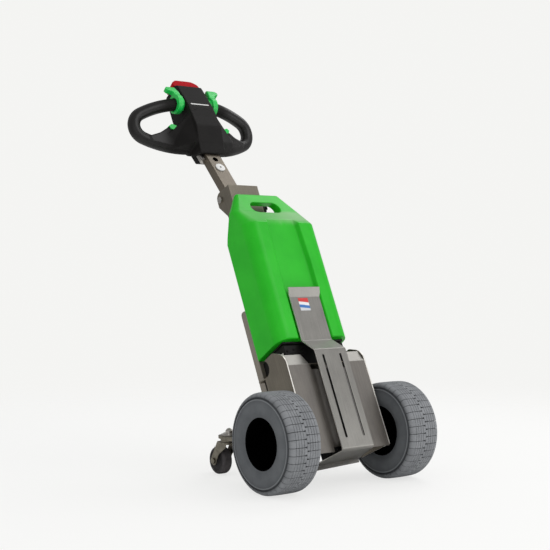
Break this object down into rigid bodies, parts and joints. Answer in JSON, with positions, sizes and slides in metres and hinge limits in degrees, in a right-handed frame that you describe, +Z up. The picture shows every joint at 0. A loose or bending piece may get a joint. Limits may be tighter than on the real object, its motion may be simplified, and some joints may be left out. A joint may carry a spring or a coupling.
{
  "type": "electric tow tractor",
  "caption": "Walk-behind electric tow tractor: slotted tow plate, driven tyres, swivel castors, lift-out battery and a folding tiller with loop grips.",
  "frame": {"origin": "middle of the footprint of the bounding box, on the floor", "axes": "+X towards the tow plate, +Y to the left side, +Z up; driven wheels turn about Y"},
  "size_m": [0.8428, 0.4636, 1.0671],
  "materials": {
    "sheet_steel": "brushed stainless sheet, satin",
    "plate_steel": "brushed stainless sheet, satin, bright cut edges",
    "bright_steel": "bright plated steel",
    "castor_steel": "zinc plated steel, dulled",
    "drive_black": "black powder coat",
    "rim_black": "black paint, semi gloss",
    "housing_black": "black moulded plastic",
    "pack_green": "glossy moulded plastic, bright green",
    "tyre_grey": "grey non-marking rubber",
    "castor_rubber": "dark grey rubber",
    "tube_steel": "brushed stainless tube",
    "cap_white": "white plastic cap",
    "console_black": "black textured plastic",
    "grip_black": "black soft-touch plastic",
    "lever_green": "glossy emerald plastic",
    "button_red": "glossy red plastic"
  },
  "bodies": {
    "chassis": {"motor_hood": "sheet_steel", "tow_plate": "plate_steel", "plate_spacers": "bright_steel", "rear_panel": "sheet_steel", "rear_tray": "sheet_steel", "column_channel": "sheet_steel", "pivot_bolt": "bright_steel", "seat_shelf": "drive_black", "pack_cradle": "housing_black", "gear_case": "drive_black", "drive_motor": "drive_black", "castor_frame": "castor_steel", "castor_gussets": "castor_steel", "side_plate_left": "sheet_steel", "axle_tube_left": "drive_black", "castor_bolt_left": "bright_steel", "side_plate_right": "sheet_steel", "axle_tube_right": "drive_black", "castor_bolt_right": "bright_steel"},
    "battery": {"battery_pack": "pack_green", "pack_base": "housing_black"},
    "tiller": {"tiller_tube": "tube_steel", "tube_cap": "cap_white", "head_console": "console_black", "belly_button": "button_red", "head_clamp": "housing_black", "clamp_collar": "bright_steel", "grip_loop_left": "grip_black", "thumb_lever_left": "lever_green", "side_button_left": "lever_green", "grip_loop_right": "grip_black", "thumb_lever_right": "lever_green", "side_button_right": "lever_green"},
    "wheel_left": {"tyre_left": "tyre_grey", "rim_left": "rim_black", "hub_left": "rim_black"},
    "castor_left": {"castor_fork_left": "castor_steel", "castor_axle_left": "bright_steel"},
    "castor_roller_left": {"castor_wheel_left": "castor_rubber"},
    "wheel_right": {"tyre_right": "tyre_grey", "rim_right": "rim_black", "hub_right": "rim_black"},
    "castor_right": {"castor_fork_right": "castor_steel", "castor_axle_right": "bright_steel"},
    "castor_roller_right": {"castor_wheel_right": "castor_rubber"}
  },
  "joints": [
    {"name": "wheel_spin_left", "type": "hinge", "parent": "chassis", "child": "wheel_left", "pos_m": [0.30141, 0.185, 0.12], "axis": [0, 1, 0], "continuous": true},
    {"name": "castor_swivel_left", "type": "hinge", "parent": "chassis", "child": "castor_left", "pos_m": [0.04041, 0.135, 0.087], "axis": [0, 0, 1], "continuous": true},
    {"name": "castor_roll_left", "type": "hinge", "parent": "castor_left", "child": "castor_roller_left", "pos_m": [0.00241, 0.135, 0.035], "axis": [0, 1, 0], "continuous": true},
    {"name": "wheel_spin_right", "type": "hinge", "parent": "chassis", "child": "wheel_right", "pos_m": [0.30141, -0.185, 0.12], "axis": [0, 1, 0], "continuous": true},
    {"name": "castor_swivel_right", "type": "hinge", "parent": "chassis", "child": "castor_right", "pos_m": [0.04041, -0.135, 0.087], "axis": [0, 0, 1], "continuous": true},
    {"name": "castor_roll_right", "type": "hinge", "parent": "castor_right", "child": "castor_roller_right", "pos_m": [0.00241, -0.135, 0.035], "axis": [0, 1, 0], "continuous": true},
    {"name": "tiller_fold", "type": "hinge", "parent": "chassis", "child": "tiller", "pos_m": [-0.12393, 0, 0.70864], "axis": [0, -1, 0], "range_deg": [-8, 125]},
    {"name": "battery_lift", "type": "slide", "parent": "chassis", "child": "battery", "axis": [-0.4226, 0, 0.9063], "range_m": [0, 0.3]}
  ]
}
